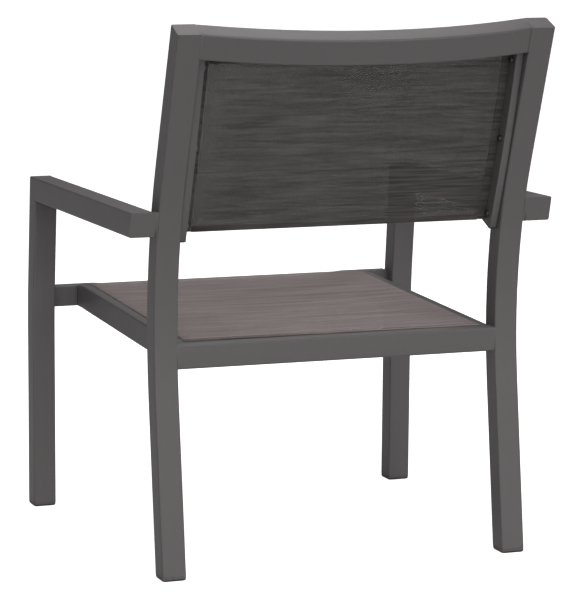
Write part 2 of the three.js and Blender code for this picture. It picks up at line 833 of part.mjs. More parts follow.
function slingStation(x, distance) {
  const place = backLine.at(distance);
  const forward = forwardOf(place.tilt);
  const origin = new THREE.Vector3(x, place.y, place.z).addScaledVector(forward, backRail.grooveFromRear);
  return { origin, a: acrossX, b: forward };
}

function backSlingEnds() {
  const start = backRail.plugThickness + backSling.bottomInset;
  return [start, backLine.length - backSling.topInset];
}

function backCloth() {
  const [start, end] = backSlingEnds();
  const turnIn = cloth.hem + cloth.thickness;
  const extra = [start + cloth.hem, start + turnIn, end - turnIn, end - cloth.hem];
  const stops = backStops(start, end, extra);
  const section = (i) => {
    const fromEnd = Math.min(stops[i] - start, end - stops[i]);
    const isHem = fromEnd <= cloth.hem + cloth.thickness / 2;
    return backSlingSection(isHem ? 2 * cloth.thickness : cloth.thickness);
  };
  return sweep(section, stops.map((stop) => slingStation(0, stop)));
}

function backRod(sign) {
  const [start, end] = backSlingEnds();
  const outer = circleLoop(sign * (backRailInner + boreDepth), 0, cloth.rodRadius, steps.pocket);
  return sweep({ outer, holes: [] }, backStops(start, end).map((stop) => slingStation(0, stop)));
}

function seatRod(sign) {
  const [start, end] = seatSlingEnds();
  const outer = circleLoop(sign * sideRailMiddle, -boreDepth, cloth.rodRadius, steps.pocket);
  return sweep({ outer, holes: [] }, seatStops(start, end).map((stop) => seatStation(0, stop)));
}

// Glides: a sole that follows the raked tube and is rounded round its lower edge, and a hollow plug inside it
function footGlide(line, x) {
  const foot = line.at(0);
  const run = upwardOf(foot.tilt);
  const stationAt = (height) => {
    const origin = new THREE.Vector3(x, foot.y, foot.z).addScaledVector(run, height);
    return { origin, a: acrossX, b: forwardOf(foot.tilt) };
  };
  const rounding = [];
  for (let i = 0; i <= steps.edge; i += 1) {
    const turn = (Math.PI * i) / (2 * steps.edge);
    rounding.push({
      height: glide.edge * (1 - Math.cos(turn)),
      inset: glide.inset + glide.edge * (1 - Math.sin(turn)),
    });
  }
  const layers = [...rounding, { height: glide.sole, inset: glide.inset }];
  const depth = tube.side / Math.cos(foot.tilt);
  const soleSection = (i) => {
    const { inset } = layers[i];
    const half = tube.side / 2 - inset;
    return { outer: roundedLoop(-half, half, inset, depth - inset, tube.corner), holes: [] };
  };
  const sole = sweep(soleSection, layers.map(({ height }) => ({
    origin: new THREE.Vector3(x, line.at(height).y, height),
    a: acrossX,
    b: alongY.clone().negate(),
  })));
  const inset = tube.wall + gap;
  const plugHalf = tube.side / 2 - inset;
  const bore = plugHalf - glide.plugWall;
  const plug = sweep(
    {
      outer: roundedLoop(-plugHalf, plugHalf, inset, tube.side - inset, tube.corner / 2),
      holes: [roundedLoop(
        -bore,
        bore,
        inset + glide.plugWall,
        tube.side - inset - glide.plugWall,
        tube.corner / 2,
      )],
    },
    [glide.sole, glide.sole + glide.plugHeight].map(stationAt),
    { start: level(glide.sole / 2) },
  );
  return join(sole, plug);
}

// The chair

const group = new THREE.Group();
group.name = 'sling_patio_chair';

function addPiece(name, geometry, material) {
  const mesh = new THREE.Mesh(geometry, material);
  mesh.name = name;
  group.add(mesh);
}

for (const [side, sign] of [['left', 1], ['right', -1]]) {
  addPiece(`${side}_rear_post`, postTube(sign), coated);
  addPiece(`${side}_post_cap`, postCap(sign), coated);
  addPiece(`${side}_front_leg`, legTube(sign), coated);
  addPiece(`${side}_arm`, armTube(sign), coated);
  addPiece(`${side}_arm_end_cap`, armCap(sign), coated);
  addPiece(`${side}_arm_packer`, armPacker(sign), coated);
  addPiece(`${side}_seat_rail`, seatRail(sign), coatedRail);
  addPiece(`${side}_seat_rod`, seatRod(sign), nylon);
  addPiece(`${side}_back_rail`, backRailTube(sign), coatedRail);
  addPiece(`${side}_back_rail_plug`, backRailPlug(sign), blackPlastic);
  addPiece(`${side}_back_rod`, backRod(sign), nylon);
  addPiece(`${side}_rear_glide`, footGlide(postLine, sign * postMiddle), greyPlastic);
  addPiece(`${side}_front_glide`, footGlide(legLine, sign * armMiddle), greyPlastic);
  screwPlaces().forEach((place, i) => {
    addPiece(`${side}_back_rail_screw_${['bottom', 'middle', 'top'][i]}`, railScrew(sign, place), steel);
  });
}
addPiece('top_rail', bowedRail(), coated);
addPiece('seat_rear_rail', rearCrossTube(), coated);
addPiece('seat_front_rail', crankedRail(), coated);
addPiece('seat_sling', seatCloth(), sling);
addPiece('back_sling', backCloth(), sling);

// The origin is the middle of the footprint, on the floor
const extent = new THREE.Box3().setFromObject(group);
group.position.set(-(extent.min.x + extent.max.x) / 2, -(extent.min.y + extent.max.y) / 2, -extent.min.z);

export default group;
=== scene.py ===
"""Sling patio chair: powder-coated aluminium tube, grooved sling rails, woven slings for seat and back."""

import json
import math

import bmesh
import bpy
from mathutils import Matrix, Vector

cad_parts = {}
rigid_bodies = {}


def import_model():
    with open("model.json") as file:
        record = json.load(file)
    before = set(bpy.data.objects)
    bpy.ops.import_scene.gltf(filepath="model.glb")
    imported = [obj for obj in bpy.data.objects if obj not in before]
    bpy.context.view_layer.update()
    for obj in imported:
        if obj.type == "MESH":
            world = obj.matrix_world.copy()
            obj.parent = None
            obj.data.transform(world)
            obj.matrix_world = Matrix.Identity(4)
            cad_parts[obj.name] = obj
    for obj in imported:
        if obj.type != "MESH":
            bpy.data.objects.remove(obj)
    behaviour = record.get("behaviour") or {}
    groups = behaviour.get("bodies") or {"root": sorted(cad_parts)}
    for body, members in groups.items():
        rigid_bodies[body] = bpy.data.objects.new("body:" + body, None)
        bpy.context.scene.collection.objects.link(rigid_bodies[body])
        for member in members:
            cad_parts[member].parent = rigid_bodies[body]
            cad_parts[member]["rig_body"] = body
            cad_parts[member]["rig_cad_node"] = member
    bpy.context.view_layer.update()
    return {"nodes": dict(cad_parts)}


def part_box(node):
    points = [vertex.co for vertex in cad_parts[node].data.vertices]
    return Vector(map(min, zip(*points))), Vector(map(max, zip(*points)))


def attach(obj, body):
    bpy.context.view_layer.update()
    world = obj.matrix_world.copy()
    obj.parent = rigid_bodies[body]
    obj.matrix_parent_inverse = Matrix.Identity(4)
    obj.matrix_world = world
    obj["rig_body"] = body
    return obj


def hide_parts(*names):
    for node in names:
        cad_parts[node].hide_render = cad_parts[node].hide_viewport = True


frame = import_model()
nodes = frame["nodes"]

MM = 0.001
SIDES = (("left", 1), ("right", -1))

# The photograph's camera, found from the chair's own edges: place, turn and roll, and focal length in pixels
EYE = Vector((1.5596, 4.3559, 1.0404))
AZIMUTH = math.radians(160.36)
ELEVATION = math.radians(8.07)
ROLL = math.radians(-0.12)
FOCAL_PIXELS = 2925.35
FRAME_HEIGHT_PIXELS = 594
SENSOR = 36.0

# The studio: the strength of its room and of the wall behind the camera, and its soft lamps
ROOM = 0.02
REAR_WALL = 2.45
LAMPS = (
    ("overhead_softbox", (0.3, 0.0, 3.4), 2.5, 22),
    ("camera_softbox", (0.5, 2.15, 4.1), 1.1, 48),
    ("front_softbox", (-1.1, -2.6, 3.2), 1.6, 27),
    ("right_softbox", (-3.4, -1.6, 1.2), 1.6, 30),
    ("left_softbox", (2.6, -3.2, 1.4), 1.8, 9),
)

# Square tube, as in the frame
TUBE = 38 * MM
TUBE_WALL = 1.5 * MM
TUBE_CORNER = 3 * MM

# Sling cloth: thickness, width of the turned hems, the seat's lap over the rear rail, distance from rod
# to pocket seam, radius of the pocket round its rod, and the sag of the seat
CLOTH = 0.75 * MM
HEM = 9 * MM
REAR_LAP = 5.3 * MM
SEAM = 13 * MM
POCKET = 2.75 * MM
SEAT_SAG = 3 * MM

# Sling rails: clearance of the seat cloth over their lips, depth of the rods' centres in the grooves, half
# the slot's width, and how far the seat rails' outer slot wall is moved so that the slot shows
LIP = 0.3 * MM
GROOVE_DEPTH = 5.3 * MM
SLOT_HALF = 1.35 * MM
SLOT_GAP = 2.4 * MM

# Rows of points up the back sling and along the seat sling
BACK_ROWS = 40
SEAT_ROWS = 60

# Angles over which an edge stays sharp, on swept tubes and on pieces modelled here
TUBE_SHARP = math.radians(38)
EDGE_SHARP = math.radians(32)

# Stitches: their pitch and thread, and their row's distance from the inner edge of the hem
STITCH_PITCH = 4 * MM
STITCH_LENGTH = 3.1 * MM
THREAD = 0.45 * MM
STITCH_INSET = 3 * MM

# Front rail: how much slimmer the photograph shows it than its solid, and the rise of the seat rails'
# lower edges to it over their last stretch
FRONT_SLIM = 13 * MM
EASED_RISE = 4 * MM
EASED_RUN = 60 * MM

# Height up to which the glides' soles are painted near black, as painted contact shadow at the floor
CONTACT_SHADOW_HEIGHT = 2.6 * MM

# Welds: the slice of a tube's end that is carried on over a joint, and the fillet beads in the inside corners
WELD_SLICE = 0.8 * MM
FLUSH_REACH = 3.4 * MM
ARM_REACH = 7 * MM
BEAD = 1.6 * MM
BEAD_PITCH = 1.5 * MM


def linear(code):
    """An sRGB hex colour as the linear colour that a shader takes."""
    shares = [int(code[i : i + 2], 16) / 255 for i in (1, 3, 5)]
    return [c / 12.92 if c <= 0.04045 else ((c + 0.055) / 1.055) ** 2.4 for c in shares] + [1]


def add_node(tree, kind, settings=None, inputs=None):
    """Adds a node with its settings, and with a value or a link at each of its inputs."""
    node = tree.nodes.new(kind)
    for name, value in (settings or {}).items():
        setattr(node, name, value)
    for name, value in (inputs or {}).items():
        if isinstance(value, bpy.types.NodeSocket):
            tree.links.new(value, node.inputs[name])
        else:
            node.inputs[name].default_value = value
    return node


def new_material(name):
    """An empty material with its output."""
    material = bpy.data.materials.new(name)
    material.use_nodes = True
    tree = material.node_tree
    tree.nodes.clear()
    return material, tree, add_node(tree, "ShaderNodeOutputMaterial")


def sum_of(tree, operation, first, second):
    """The value that two values make together."""
    settings = {"operation": operation}
    return add_node(tree, "ShaderNodeMath", settings, {0: first, 1: second}).outputs[0]


def blend_of(tree, share, first, second):
    """A colour between two colours."""
    settings = {"data_type": "RGBA"}
    return add_node(tree, "ShaderNodeMix", settings, {0: share, 6: first, 7: second}).outputs[2]


# Materials


def powder_coated_aluminium():
    """Polyester powder baked on aluminium: dark warm grey, satin, a fine orange peel and a faint fleck."""
    material, tree, output = new_material("powder_coated_aluminium")
    place = add_node(tree, "ShaderNodeTexCoord").outputs["Object"]
    peel = add_node(tree, "ShaderNodeTexNoise", inputs={"Vector": place, "Scale": 520, "Detail": 3})
    fleck = add_node(tree, "ShaderNodeTexNoise", inputs={"Vector": place, "Scale": 1400, "Detail": 1})
    cloud = add_node(tree, "ShaderNodeTexNoise", inputs={"Vector": place, "Scale": 9, "Detail": 4})
    spread = {"Value": fleck.outputs["Fac"], "From Min": 0.35, "From Max": 0.75}
    flecked = add_node(tree, "ShaderNodeMapRange", inputs=spread).outputs[0]
    coat = blend_of(tree, cloud.outputs["Fac"], linear("#4b4848"), linear("#504d4d"))
    colour = blend_of(tree, flecked, coat, linear("#575354"))
    dull = {"Value": cloud.outputs["Fac"], "To Min": 0.46, "To Max": 0.56}
    roughness = add_node(tree, "ShaderNodeMapRange", inputs=dull).outputs[0]
    relief = {"Height": peel.outputs["Fac"], "Strength": 0.25, "Distance": 0.06 * MM}
    bump = add_node(tree, "ShaderNodeBump", inputs=relief)
    shader = {
        "Base Color": colour,
        "Roughness": roughness,
        "IOR": 1.5,
        "Normal": bump.outputs[0],
    }
    surface = add_node(tree, "ShaderNodeBsdfPrincipled", inputs=shader)
    tree.links.new(surface.outputs[0], output.inputs["Surface"])
    return material


def woven_sling_mesh(name, weft_tones, warp_tones, band_share, sheen):
    """Vinyl-coated polyester yarn in a plain weave, its weft slubbed: matte, streaky, a little open."""
    material, tree, output = new_material(name)
    # The real yarns are about 1 mm apart, so they are drawn 1.6 and 1.8 mm apart to show
    warp_pitch = 1.8 * MM
    weft_pitch = 1.6 * MM
    place = add_node(tree, "ShaderNodeUVMap", {"uv_map": "cloth"}).outputs[0]
    axes = add_node(tree, "ShaderNodeSeparateXYZ", inputs={0: place})
    warp = sum_of(tree, "DIVIDE", axes.outputs[0], warp_pitch)
    weft = sum_of(tree, "DIVIDE", axes.outputs[1], weft_pitch)
    warp_row = sum_of(tree, "FLOOR", warp, 0.0)
    weft_row = sum_of(tree, "FLOOR", weft, 0.0)
    warp_round = sum_of(tree, "PINGPONG", sum_of(tree, "MULTIPLY", warp, 2.0), 1.0)
    weft_round = sum_of(tree, "PINGPONG", sum_of(tree, "MULTIPLY", weft, 2.0), 1.0)
    turn = sum_of(tree, "MODULO", sum_of(tree, "ADD", sum_of(tree, "ADD", warp_row, weft_row), 2000.0), 2.0)
    # Slubs: thick and thin stretches of weft, long across the cloth, single and in groups of rows
    slubs = []
    for along, across, detail in ((9.0, 250.0, 2), (4.5, 60.0, 2)):
        along = sum_of(tree, "MULTIPLY", axes.outputs[0], along)
        across = sum_of(tree, "MULTIPLY", axes.outputs[1], across)
        spot = add_node(tree, "ShaderNodeCombineXYZ", inputs={0: along, 1: across})
        streaks = {"Vector": spot.outputs[0], "Scale": 1, "Detail": detail, "Roughness": 0.6}
        slubs.append(add_node(tree, "ShaderNodeTexNoise", inputs=streaks).outputs["Fac"])
    threads = sum_of(tree, "MULTIPLY", slubs[0], 1 - band_share)
    slub = sum_of(tree, "ADD", threads, sum_of(tree, "MULTIPLY", slubs[1], band_share))
    spread = {"Value": slub, "From Min": 0.38, "From Max": 0.62}
    slub_share = add_node(tree, "ShaderNodeMapRange", inputs=spread).outputs[0]
    weft_colour = blend_of(tree, slub_share, linear(weft_tones[0]), linear(weft_tones[1]))
    warp_colour = blend_of(tree, slub_share, linear(warp_tones[0]), linear(warp_tones[1]))
    yarn = blend_of(tree, turn, weft_colour, warp_colour)
    both = sum_of(tree, "MULTIPLY", warp_round, weft_round)
    # Painted shade: towards the hollows where the yarns cross, the yarn colour is darkened to #2b2928
    painted_hollow_shade = add_node(tree, "ShaderNodeMapRange", inputs={"Value": both, "From Max": 0.35, "To Min": 0.55})
    colour = blend_of(tree, painted_hollow_shade.outputs[0], linear("#2b2928"), yarn)
    height = sum_of(tree, "ADD", both, sum_of(tree, "MULTIPLY", turn, weft_round))
    bump = add_node(tree, "ShaderNodeBump", inputs={"Height": height, "Strength": 0.4, "Distance": 0.2 * MM})
    shader = {
        "Base Color": colour,
        "Roughness": 0.7,
        "IOR": 1.45,
        "Sheen Weight": sheen,
        "Sheen Roughness": 0.4,
        "Sheen Tint": linear("#ecd8d6"),
        "Normal": bump.outputs[0],
    }
    cloth = add_node(tree, "ShaderNodeBsdfPrincipled", inputs=shader)
    gap_share = add_node(tree, "ShaderNodeMath", {"operation": "LESS_THAN"}, {0: both, 1: 0.03})
    clear = add_node(tree, "ShaderNodeBsdfTransparent")
    sides = {0: gap_share.outputs[0], 1: cloth.outputs[0], 2: clear.outputs[0]}
    surface = add_node(tree, "ShaderNodeMixShader", inputs=sides)
    tree.links.new(surface.outputs[0], output.inputs["Surface"])
    return material


def bonded_polyester_thread():
    """Sewing thread of bonded polyester: dark, with a soft twist and a waxy sheen."""
    material, tree, output = new_material("bonded_polyester_thread")
    place = add_node(tree, "ShaderNodeTexCoord").outputs["Object"]
    twist = {"Vector": place, "Scale": 900, "Distortion": 1}
    wave = add_node(tree, "ShaderNodeTexWave", {"bands_direction": "DIAGONAL"}, twist)
    colour = blend_of(tree, wave.outputs["Fac"], linear("#343231"), linear("#4c4947"))
    surface = add_node(tree, "ShaderNodeBsdfPrincipled", inputs={"Base Color": colour, "Roughness": 0.5})
    tree.links.new(surface.outputs[0], output.inputs["Surface"])
    return material


def moulded_polypropylene(name, body, scuffs, contact_shadow_height=0.0):
    """Moulded polypropylene: one dark tone with a fine grain, scuffed in patches, with painted contact shadow
    near the floor.
    """
    material, tree, output = new_material(name)
    place = add_node(tree, "ShaderNodeTexCoord").outputs["Object"]
    grain = add_node(tree, "ShaderNodeTexNoise", inputs={"Vector": place, "Scale": 1800, "Detail": 2})
    scuff = add_node(tree, "ShaderNodeTexNoise", inputs={"Vector": place, "Scale": 120, "Detail": 5})
    spread = {"Value": scuff.outputs["Fac"], "From Min": 0.55, "From Max": 0.8}
    scuffed = add_node(tree, "ShaderNodeMapRange", inputs=spread).outputs[0]
    clean = blend_of(tree, scuffed, linear(body), linear(scuffs))
    height = add_node(tree, "ShaderNodeSeparateXYZ", inputs={0: place}).outputs[2]
    low_down = {"Value": height, "From Min": contact_shadow_height, "From Max": contact_shadow_height + 0.5 * MM}
    clear_of_contact_shadow = add_node(tree, "ShaderNodeMapRange", inputs=low_down).outputs[0]
    # Painted shadow: below the given height the colour goes to near black, standing in for the contact shadow
    # at the floor
    colour = blend_of(tree, clear_of_contact_shadow, linear("#171616"), clean)
    relief = {"Height": grain.outputs["Fac"], "Strength": 0.3, "Distance": 0.05 * MM}
    bump = add_node(tree, "ShaderNodeBump", inputs=relief)
    shader = {"Base Color": colour, "Roughness": 0.6, "Normal": bump.outputs[0]}
    surface = add_node(tree, "ShaderNodeBsdfPrincipled", inputs=shader)
    tree.links.new(surface.outputs[0], output.inputs["Surface"])
    return material


def extruded_nylon():
    """Extruded nylon rod: milky off-white, with faint draw lines along it."""
    material, tree, output = new_material("extruded_nylon")
    place = add_node(tree, "ShaderNodeTexCoord").outputs["Object"]
    stretch = add_node(tree, "ShaderNodeMapping", inputs={"Vector": place, "Scale": (900, 20, 20)})
    lines = add_node(tree, "ShaderNodeTexNoise", inputs={"Vector": stretch.outputs[0], "Scale": 1})
    colour = blend_of(tree, lines.outputs["Fac"], linear("#bdb9b0"), linear("#d6d3cb"))
    surface = add_node(tree, "ShaderNodeBsdfPrincipled", inputs={"Base Color": colour, "Roughness": 0.45})
    tree.links.new(surface.outputs[0], output.inputs["Surface"])
    return material


def tumbled_stainless_steel():
    """Cold-headed stainless steel screws, tumbled satin, with a dark film in the low spots."""
    material, tree, output = new_material("tumbled_stainless_steel")
    place = add_node(tree, "ShaderNodeTexCoord").outputs["Object"]
    film = add_node(tree, "ShaderNodeTexNoise", inputs={"Vector": place, "Scale": 700, "Detail": 4})
    colour = blend_of(tree, film.outputs["Fac"], linear("#3c3b3a"), linear("#7d7b78"))
    relief = {"Height": film.outputs["Fac"], "Strength": 0.2, "Distance": 0.03 * MM}
    bump = add_node(tree, "ShaderNodeBump", inputs=relief)
    shader = {"Base Color": colour, "Metallic": 1.0, "Roughness": 0.38, "Normal": bump.outputs[0]}
    surface = add_node(tree, "ShaderNodeBsdfPrincipled", inputs=shader)
    tree.links.new(surface.outputs[0], output.inputs["Surface"])
    return material


def white_floor():
    """A seamless white floor: it glows for the camera alone, and is pale paper to the lamps and the chair."""
    material, tree, output = new_material("white_floor")
    paper = add_node(tree, "ShaderNodeBsdfDiffuse", inputs={"Color": linear("#e8e8e8")})
    path = add_node(tree, "ShaderNodeLightPath")
    strength = sum_of(tree, "MULTIPLY", path.outputs["Is Camera Ray"], 0.9)
    glow = add_node(tree, "ShaderNodeEmission", inputs={"Strength": strength})
    both = add_node(tree, "ShaderNodeAddShader", inputs={0: paper.outputs[0], 1: glow.outputs[0]})
    tree.links.new(both.outputs[0], output.inputs["Surface"])
    return material


# Modelling


def deselect_all():
    """Leaves nothing selected, so that an operator acts on the new piece alone."""
    bpy.ops.object.select_all(action="DESELECT")


def make_active(piece):
    """Selects one piece alone."""
    deselect_all()
    piece.select_set(True)
    bpy.context.view_layer.objects.active = piece


def apply_modifier(piece, kind, **settings):
    """Adds a modifier with its settings and applies it."""
    make_active(piece)
    modifier = piece.modifiers.new(kind.lower(), kind)
    for name, value in settings.items():
        setattr(modifier, name, value)
    bpy.ops.object.modifier_apply(modifier=modifier.name)


def settle(piece):
    """Puts a piece's place into its mesh, with its object at the origin."""
    make_active(piece)
    bpy.ops.object.transform_apply(location=True, rotation=True, scale=True)


def dress(piece, material, slot, *replaced):
    """Gives a piece its material, and lets it ride on the chair in place of CAD nodes; the slot it is given
    is not used.
    """
    piece.data.materials.clear()
    piece.data.materials.append(material)
    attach(piece, "root")
    if replaced:
        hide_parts(*replaced)


def merged_copy(node, name):
    """A copy of a node's mesh as a piece of its own, its shared points merged."""
    piece = nodes[node].copy()
    piece.data = nodes[node].data.copy()
    piece.name = name
    piece.parent = None
    piece.hide_viewport = False
    piece.hide_render = False
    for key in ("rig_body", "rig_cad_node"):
        del piece[key]
    bpy.context.scene.collection.objects.link(piece)
    make_active(piece)
    bpy.ops.object.mode_set(mode="EDIT")
    bpy.ops.mesh.select_all(action="SELECT")
    bpy.ops.mesh.remove_doubles(threshold=0.002 * MM)
    bpy.ops.object.mode_set(mode="OBJECT")
    return piece


def finished_tube(node, material, slot):
    """A tube with its facets smoothed and its broad faces kept flat."""
    piece = merged_copy(node, f"{node}_finished")
    bpy.ops.object.shade_smooth_by_angle(angle=TUBE_SHARP)
    apply_modifier(piece, "WEIGHTED_NORMAL", keep_sharp=True, weight=90)
    dress(piece, material, slot, node)
    return piece


def widened_slot(piece, wall, push):
    """Moves a groove's outer wall outwards, so that a dark line shows beside the cloth."""
    for vertex in piece.data.vertices:
        if abs(vertex.co.x - wall) < 0.05 * MM:
            vertex.co.x += push


def slimmed(piece, middle, cut):
    """Moves the front half of a cross tube back, so that the tube is as slim as in the photograph."""
    for vertex in piece.data.vertices:
        if vertex.co.y < middle:
            vertex.co.y += cut


def eased_end(piece, front):
    """Raises the lower edge of a seat rail over its last stretch, to meet the front rail's lower edge."""
    last = min(vertex.co.z for vertex in piece.data.vertices if vertex.co.y < front + MM)
    for vertex in piece.data.vertices:
        share = min(1.0, max(0.0, (front + EASED_RUN - vertex.co.y) / EASED_RUN))
        if vertex.co.z < last + TUBE / 2:
            vertex.co.z += EASED_RISE * share**2


def trimmed(piece, *cuts):
    """Cuts a piece off beyond planes, each a point and its outward normal, and closes the cuts."""
    make_active(piece)
    bpy.ops.object.mode_set(mode="EDIT")
    for point, outward in cuts:
        bpy.ops.mesh.select_all(action="SELECT")
        bpy.ops.mesh.bisect(plane_co=point, plane_no=outward, clear_outer=True, use_fill=True)
    bpy.ops.object.mode_set(mode="OBJECT")


def end_plane(node, direction):
    """The point and outward normal of a tube's end face, found along a direction."""
    faces = [face for face in nodes[node].data.polygons if face.normal.dot(direction) > 0.6]
    last = max(faces, key=lambda face: face.center.dot(direction))
    return last.center.copy(), last.normal.copy()


def dressed_weld(node, direction, along, reach, material):
    """A weld ground flush: the last slice of a tube, carried on over the joint at its end."""
    direction, along = Vector(direction), Vector(along).normalized()
    point, normal = end_plane(node, direction)
    side = "_".join(axis for axis, value in zip("xyz", direction) if abs(value) > 0.5)
    weld = merged_copy(node, f"{node}_weld_{side}_{'high' if sum(direction) > 0 else 'low'}")
    bpy.ops.object.mode_set(mode="EDIT")
    bpy.ops.mesh.select_all(action="SELECT")
    slice_depth = reach + WELD_SLICE
    bpy.ops.mesh.bisect(
        plane_co=point - normal * slice_depth, plane_no=normal, clear_inner=True, use_fill=True
    )
    bpy.ops.mesh.select_all(action="SELECT")
    bpy.ops.transform.translate(value=along * reach)
    bpy.ops.transform.shrink_fatten(value=0.03 * MM)
    bpy.ops.mesh.normals_make_consistent(inside=False)
    bpy.ops.object.mode_set(mode="OBJECT")
    bpy.ops.object.shade_smooth_by_angle(angle=TUBE_SHARP)
    dress(weld, material, "frame_coating")
    return weld


def end_plate(node, sign, cut, material):
    """A plate welded into the open end of a cross tube. It is a guess: the photograph hides these ends."""
    reach = max(vertex.co.x * sign for vertex in nodes[node].data.vertices)
    rim = [vertex.co for vertex in nodes[node].data.vertices if vertex.co.x * sign > reach - 0.01 * MM]
    low = Vector((0, min(place.y for place in rim) + cut, min(place.z for place in rim)))
    high = Vector((0, max(place.y for place in rim), max(place.z for place in rim)))
    inset = Vector((0, 0.7 * TUBE_WALL, 0.7 * TUBE_WALL))
    low, high = low + inset, high - inset
    middle = (low + high) / 2
    middle.x = sign * (reach - TUBE_WALL / 2 - 0.15 * MM)
    deselect_all()
    size = (TUBE_WALL, high.y - low.y, high.z - low.z)
    bpy.ops.mesh.primitive_cube_add(size=1, location=middle, scale=size)
    plate = bpy.context.object
    plate.name = f"{node}_end_plate_{'left' if sign > 0 else 'right'}"
    settle(plate)
    apply_modifier(plate, "BEVEL", width=0.35 * MM, segments=2, limit_method="ANGLE")
    bpy.ops.object.shade_smooth_by_angle(angle=EDGE_SHARP)
    dress(plate, material, "frame_coating")
    return plate


def rod_line(node):
    """The centreline of a rod as (y, z) places in order, read from the points at its side."""
    low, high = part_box(node)
    reach = high.x - 0.01 * MM
    places = {(round(v.co.y, 6), round(v.co.z, 6)) for v in nodes[node].data.vertices if v.co.x > reach}
    return sorted(places, key=lambda place: place[1] - place[0])


def resampled(places, count):
    """Evenly spaced stations along a line of places: (place, direction, distance)."""
    points = [Vector(place) for place in places]
    lengths = [0.0]
    for first, second in zip(points, points[1:]):
        lengths.append(lengths[-1] + (second - first).length)
    stations = []
    for i in range(count + 1):
        distance = lengths[-1] * i / count
        leg = max(j for j in range(len(points) - 1) if lengths[j] <= distance + 1e-9)
        share = (distance - lengths[leg]) / (lengths[leg + 1] - lengths[leg])
        before = points[max(leg - 1, 0)] if share < 0.5 else points[leg]
        after = points[leg + 1] if share < 0.5 else points[min(leg + 2, len(points) - 1)]
        place = points[leg].lerp(points[leg + 1], share)
        stations.append((place, (after - before).normalized(), distance))
    return stations


def cloth_from(name, rows, across):
    """A sheet from rows of points, with a UV map in metres: across the cloth, then along it."""
    mesh = bmesh.new()
    uv_layer = mesh.loops.layers.uv.new("cloth")
    grid = [[mesh.verts.new(point) for point in points] for points, _ in rows]
    for i in range(len(rows) - 1):
        for j in range(len(across) - 1):
            corners = [(i, j), (i, j + 1), (i + 1, j + 1), (i + 1, j)]
            face = mesh.faces.new([grid[row][column] for row, column in corners])
            face.smooth = True
            for loop, (row, column) in zip(face.loops, corners):
                loop[uv_layer].uv = (across[column], rows[row][1])
    data = bpy.data.meshes.new(name)
    mesh.to_mesh(data)
    mesh.free()
    piece = bpy.data.objects.new(name, data)
    bpy.context.scene.collection.objects.link(piece)
    return piece


def distances(outline):
    """The distance along an outline of each of its points, from its middle."""
    total = [0.0]
    for first, second in zip(outline, outline[1:]):
        total.append(total[-1] + math.dist(first, second))
    return [value - total[-1] / 2 for value in total]


def arc(centre, radius, start, end, count):
    """Places on an arc, its angles in degrees."""
    turns = [math.radians(start + (end - start) * i / count) for i in range(count + 1)]
    return [(centre[0] + radius * math.cos(t), centre[1] + radius * math.sin(t)) for t in turns]


def back_outline(rod_x):
    """The back sling across: flat from rail to rail, each edge wrapped round its rod and sewn to itself."""
    half = CLOTH / 2
    rail = rod_x - GROOVE_DEPTH
    flat = [(rail * i / 12, 0.0) for i in range(10)]
    neck = [(rail - SEAM, 0.0), (rail - SEAM + 2 * CLOTH, half), (rail, half)]
    wrap = arc((rod_x, 0.0), POCKET, 172, -172, 20)
    turned = [(rail, -half), (rail - SEAM + 2 * CLOTH, -half - 0.1 * MM), (rail - SEAM, -half - 0.15 * MM)]
    outer = [place for place in flat if place[0] < rail - SEAM - CLOTH] + neck + wrap + turned
    inner = [(-x, y) for x, y in outer[1:]]
    return inner[::-1] + outer


def back_rows(outline, stations):
    """Rows of points for an outline carried up the back rails' line."""
    rows = []
    for place, direction, distance in stations:
        forward = Vector((-direction.y, direction.x))
        points = []
        for x, offset in outline:
            spot = place + forward * offset
            points.append((x, spot.x, spot.y))
        rows.append((points, distance))
    return rows


def seat_outline(rod_x, rail_half, sag):
    """The seat sling across: sagging between the rails, over their lips and down into the grooves."""
    top = GROOVE_DEPTH + LIP + 1.5 * CLOTH
    under = GROOVE_DEPTH + LIP + 0.5 * CLOTH
    inner = rod_x - rail_half
    flat = [(inner * i / 16, top - sag * (1 - (i / 16) ** 2)) for i in range(17)]
    shoulder = arc((rod_x - 1.5 * CLOTH, top - 1.9 * CLOTH), 1.9 * CLOTH, 90, 0, 4)
    neck = [(rod_x + 0.45 * CLOTH, POCKET + 0.6 * MM)]
    wrap = arc((rod_x, 0.0), POCKET, 78, -258, 20)
    rise = [(rod_x - 0.45 * CLOTH, POCKET + 0.6 * MM)]
    fold = arc((rod_x - 1.5 * CLOTH, under - 0.9 * CLOTH), 0.9 * CLOTH, 0, 90, 3)
    outer = flat + shoulder + neck + wrap + rise + fold + [(rod_x - SEAM, under)]
    mirrored = [(-x, z) for x, z in outer[1:]]
    return mirrored[::-1] + outer


